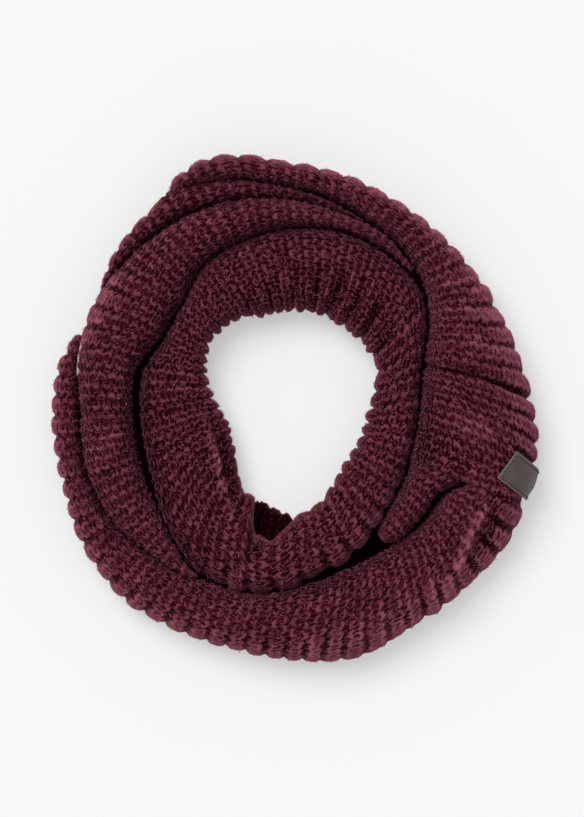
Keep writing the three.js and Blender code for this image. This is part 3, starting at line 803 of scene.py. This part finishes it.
# A stitch of the seam has a length, a width and a thickness, and takes its slope from places a little apart
SEAM_INSET = 1.7
SEAM_PITCH = 2.4
SEAM_STITCH = (1.05, 0.85, 0.85)
SEAM_PROBE = 0.5
SEAM_RISE = 0.12
SEAM_SAMPLES = 200
LEATHER_DARK = (0.070, 0.055, 0.052, 1)
LEATHER_LIGHT = (0.092, 0.074, 0.070, 1)
LEATHER_RIM = (0.135, 0.118, 0.112, 1)
THREAD_COLOUR = (0.012, 0.010, 0.009, 1)


def label_points(sideways, share, lift):
    """Points of the label: sideways from its first edge, and share 0 to 1 from its top edge over the fold."""
    heading = math.radians(LABEL["heading"])
    along = np.array([math.cos(heading), math.sin(heading)])
    start = place(*LABEL["corner"], 0.0)[:2] + np.multiply.outer(sideways, [along[1], -along[0]])
    distance = np.zeros(np.shape(sideways))
    first_swing = None
    for _ in range(SEARCH_STEPS):
        flat = start + distance[..., None] * along
        angle = np.degrees(np.arctan2(flat[..., 1] - RING_CENTRE[1], flat[..., 0] - RING_CENTRE[0]))
        radius = np.hypot(flat[..., 1] - RING_CENTRE[1], flat[..., 0] - RING_CENTRE[0])
        run = angle - OUTER["lean"](angle) * (radius - OUTER["lean_radius"])
        first, last = over_line(angle), outline(angle)
        top = first + (last - first) * OUTER["crest"](run)
        reach = last - top + lift
        if first_swing is None:
            first_swing = np.arccos(((radius - top) / reach) ** (1 / SHOULDER))
        swing = first_swing * (1 - share)
        there = top + reach * np.cos(swing) ** SHOULDER
        distance = distance + (there - radius) / np.cos(heading - np.radians(angle))
        height = FREE_LOW + (OUTER["height"](run) - FREE_LOW + lift) * np.sin(swing) ** SHOULDER
    flat = start + distance[..., None] * along
    return np.concatenate([flat, height[..., None]], axis=-1)


def label_shell():
    width = LABEL["width"]
    share, sideways = np.meshgrid(np.linspace(0, 1, LABEL_ROWS), np.linspace(0, width, LABEL_COLUMNS))
    from_side = np.minimum(sideways, width - sideways)
    rim = np.minimum(from_side / RIM_WIDTH, np.minimum(share, 1 - share) * ENDS_TO_RIM)
    puff = PUFF * np.clip(rim, 0, 1) ** 0.5
    outer = label_points(sideways, share, LABEL["clear"] + LABEL["thickness"] - PUFF + puff)
    back = slice(None, None, LABEL_BACK_STRIDE)
    inner = label_points(sideways[:, back], share[:, back], LABEL["clear"])
    piece = closed_shell("label_leather", outer, inner, {"rim": np.clip(1 - rim, 0, 1)})
    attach(piece, "root")
    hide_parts("label")
    return piece


def label_sewing():
    """Short straight stitches, let into the leather along its edges."""
    bm = bmesh.new()
    lift = LABEL["clear"] + LABEL["thickness"] + SEAM_RISE
    shares = np.linspace(0, 1, SEAM_SAMPLES)
    line = label_points(np.full(SEAM_SAMPLES, LABEL["width"] / 2), shares, lift)
    run = np.concatenate([[0], np.cumsum(np.linalg.norm(np.diff(line, axis=0), axis=1))])
    places = []
    across = int((LABEL["width"] - 2 * SEAM_INSET) / SEAM_PITCH)
    for k in range(across):
        places.append((SEAM_INSET + (LABEL["width"] - 2 * SEAM_INSET) * (k + 0.5) / across, SEAM_INSET, True))
    for side in (SEAM_INSET, LABEL["width"] - SEAM_INSET):
        for k in range(int((run[-1] - 2 * SEAM_INSET) / SEAM_PITCH)):
            places.append((side, SEAM_INSET + SEAM_PITCH * (k + 0.5), False))
    for sideways, distance, crosswise in places:
        step = (SEAM_PROBE, 0.0) if crosswise else (0.0, SEAM_PROBE)
        ends = label_points(np.array([sideways - step[0], sideways + step[0]]),
                            np.interp([distance - step[1], distance + step[1]], run, shares), lift)
        middle = mathutils.Vector(ends.mean(axis=0)) * MM
        direction = mathutils.Vector(ends[1] - ends[0]).normalized()
        turn = direction.to_track_quat("X", "Z").to_matrix().to_4x4()
        size = mathutils.Matrix.Diagonal((*(side / 2 * MM for side in SEAM_STITCH), 1))
        bmesh.ops.create_icosphere(bm, subdivisions=2, radius=1,
                                   matrix=mathutils.Matrix.Translation(middle) @ turn @ size)
    mesh = bpy.data.meshes.new("label_sewing")
    bm.to_mesh(mesh)
    bm.free()
    mesh.polygons.foreach_set("use_smooth", [True] * len(mesh.polygons))
    piece = as_piece("label_sewing", mesh)
    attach(piece, "root")
    return piece


def make_leather():
    material, tree, shader = new_material("label_leather")
    link = tree.links.new
    position = node(tree, "ShaderNodeTexCoord")
    grain = node(tree, "ShaderNodeTexVoronoi")
    grain.inputs["Scale"].default_value = 1900
    link(position.outputs["Object"], grain.inputs["Vector"])
    cloud = node(tree, "ShaderNodeTexNoise")
    cloud.inputs["Scale"].default_value = 160
    cloud.inputs["Detail"].default_value = 4
    link(position.outputs["Object"], cloud.inputs["Vector"])
    tint = node(tree, "ShaderNodeValToRGB")
    tint.color_ramp.elements[0].position = 0.3
    tint.color_ramp.elements[0].color = LEATHER_DARK
    tint.color_ramp.elements[1].position = 0.75
    tint.color_ramp.elements[1].color = LEATHER_LIGHT
    link(cloud.outputs["Fac"], tint.inputs["Fac"])
    rim = node(tree, "ShaderNodeAttribute", attribute_name="rim")
    # Paler towards the rim
    rim_mix = node(tree, "ShaderNodeMix", data_type="RGBA")
    link(rim.outputs["Fac"], rim_mix.inputs["Factor"])
    link(tint.outputs["Color"], rim_mix.inputs["A"])
    rim_mix.inputs["B"].default_value = LEATHER_RIM
    link(rim_mix.outputs["Result"], shader.inputs["Base Color"])
    bump = node(tree, "ShaderNodeBump")
    bump.inputs["Strength"].default_value = 0.35
    bump.inputs["Distance"].default_value = 0.0002
    link(grain.outputs["Distance"], bump.inputs["Height"])
    link(bump.outputs["Normal"], shader.inputs["Normal"])
    shader.inputs["Roughness"].default_value = 0.6
    shader.inputs["Specular IOR Level"].default_value = 0.3
    return material


def make_thread():
    material, _, shader = new_material("label_thread")
    shader.inputs["Base Color"].default_value = THREAD_COLOUR
    shader.inputs["Roughness"].default_value = 0.75
    return material


label_shell().data.materials.append(make_leather())
label_sewing().data.materials.append(make_thread())

# The floor, the light and the camera
# A pale matt floor that shines a little of itself, as lit paper does. A wide soft light comes from a window
# at the upper left and a weak one from the ceiling. The room is pale all round, and the camera is straight
# above. Sizes are in metres.
FLOOR_SIZE = 6.0
FLOOR_COLOUR = (0.52, 0.52, 0.52, 1)
FLOOR_GLOW = 0.38
ROOM_GLOW = 0.46
WHITE = (1, 1, 1, 1)
floor_mesh = bpy.data.meshes.new("floor")
floor_form = bmesh.new()
bmesh.ops.create_grid(floor_form, x_segments=1, y_segments=1, size=FLOOR_SIZE / 2)
floor_form.to_mesh(floor_mesh)
floor_form.free()
floor = as_piece("floor", floor_mesh)
floor_material, _, floor_shader = new_material("floor_paper")
floor_shader.inputs["Base Color"].default_value = FLOOR_COLOUR
floor_shader.inputs["Emission Color"].default_value = WHITE
floor_shader.inputs["Emission Strength"].default_value = FLOOR_GLOW
floor_shader.inputs["Roughness"].default_value = 0.9
floor_mesh.materials.append(floor_material)


def soft_sun(name, strength, spread, where):
    """A lamp with soft shadows, which shines from where it is to the middle of the ring."""
    lamp = bpy.data.lights.new(name, "SUN")
    lamp.energy = strength
    lamp.angle = math.radians(spread)
    holder = bpy.data.objects.new(name, lamp)
    holder.location = where
    holder.rotation_euler = (-holder.location).to_track_quat("-Z", "Y").to_euler()
    bpy.context.collection.objects.link(holder)


soft_sun("window", strength=1.9, spread=35, where=(-0.7, 0.9, 1.9))
soft_sun("ceiling", strength=0.3, spread=80, where=(0.4, -0.5, 2.6))
world = bpy.data.worlds.new("room")
world.use_nodes = True
world.node_tree.nodes["Background"].inputs["Color"].default_value = WHITE
world.node_tree.nodes["Background"].inputs["Strength"].default_value = ROOM_GLOW
bpy.context.scene.world = world
bpy.context.scene.view_settings.view_transform = "Standard"

CAMERA_HEIGHT = 2.2
CAMERA_AT = (-0.00087, -0.00062)
FRAME_HEIGHT = 0.4902
FOCUS_HEIGHT = 0.015
SENSOR_WIDTH_MM = 36
camera_data = bpy.data.cameras.new("camera")
camera_data.sensor_width = SENSOR_WIDTH_MM
camera_data.lens = SENSOR_WIDTH_MM * (CAMERA_HEIGHT - FOCUS_HEIGHT) / FRAME_HEIGHT
camera = bpy.data.objects.new("camera", camera_data)
camera.location = (*CAMERA_AT, CAMERA_HEIGHT)
bpy.context.collection.objects.link(camera)
bpy.context.scene.camera = camera
